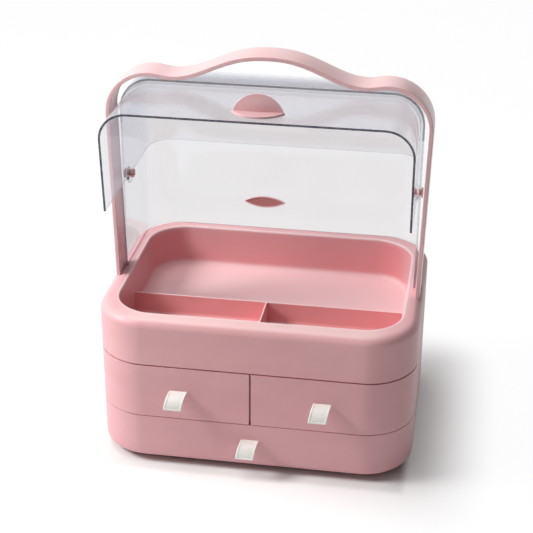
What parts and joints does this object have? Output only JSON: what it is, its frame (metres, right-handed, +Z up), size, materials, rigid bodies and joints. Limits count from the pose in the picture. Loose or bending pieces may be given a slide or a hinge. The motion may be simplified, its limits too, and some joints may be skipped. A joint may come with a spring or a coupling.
{
  "type": "dustproof makeup organizer",
  "caption": "Makeup organizer with rounded sliding drawers, a divided tray under a flip-up clear dustproof lid, and a waved carrying strap over the top.",
  "frame": {"origin": "on the ground at the middle of the whole footprint, pull tabs included", "axes": "+Z up, front with the drawers towards -Y, +X to the right seen from the front"},
  "size_m": [0.3018, 0.245, 0.381],
  "materials": {
    "body_pink": "satin moulded plastic",
    "tray_pink": "satin moulded plastic",
    "base_pink": "satin moulded plastic",
    "strap_pink": "satin moulded plastic",
    "trim_pink": "semi-gloss moulded plastic",
    "clear_shell": "clear polished plastic",
    "ivory": "soft grained plastic",
    "steel": "plated",
    "rubber": "soft matt"
  },
  "bodies": {
    "case": {"base_plate": "base_pink", "foot_front_left": "rubber", "foot_front_right": "rubber", "foot_rear_left": "rubber", "foot_rear_right": "rubber", "base_screws": "steel", "lower_frame": "body_pink", "middle_frame": "body_pink", "top_tray": "tray_pink", "handle": "strap_pink", "handle_screws": "steel", "rear_shell": "clear_shell", "rear_plate": "trim_pink", "left_hinge_pin": "trim_pink", "right_hinge_pin": "trim_pink", "left_hinge_washer": "ivory", "right_hinge_washer": "ivory"},
    "lid": {"front_lid": "clear_shell", "lid_grip": "trim_pink", "grip_screws": "steel"},
    "lower_drawer": {"lower_drawer": "body_pink", "lower_tab": "ivory", "lower_tab_clip": "ivory"},
    "upper_left_drawer": {"upper_left_drawer": "body_pink", "upper_left_tab": "ivory", "upper_left_tab_clip": "ivory"},
    "upper_right_drawer": {"upper_right_drawer": "body_pink", "upper_right_tab": "ivory", "upper_right_tab_clip": "ivory"}
  },
  "joints": [
    {"name": "lid_hinge", "type": "hinge", "parent": "case", "child": "lid", "pos_m": [0, 0.0158, 0.247], "axis": [1, 0, 0], "range_deg": [0, 84]},
    {"name": "lower_drawer_slide", "type": "slide", "parent": "case", "child": "lower_drawer", "axis": [0, -1, 0], "range_m": [0, 0.15]},
    {"name": "upper_left_drawer_slide", "type": "slide", "parent": "case", "child": "upper_left_drawer", "axis": [0, -1, 0], "range_m": [0, 0.15]},
    {"name": "upper_right_drawer_slide", "type": "slide", "parent": "case", "child": "upper_right_drawer", "axis": [0, -1, 0], "range_m": [0, 0.15]}
  ]
}
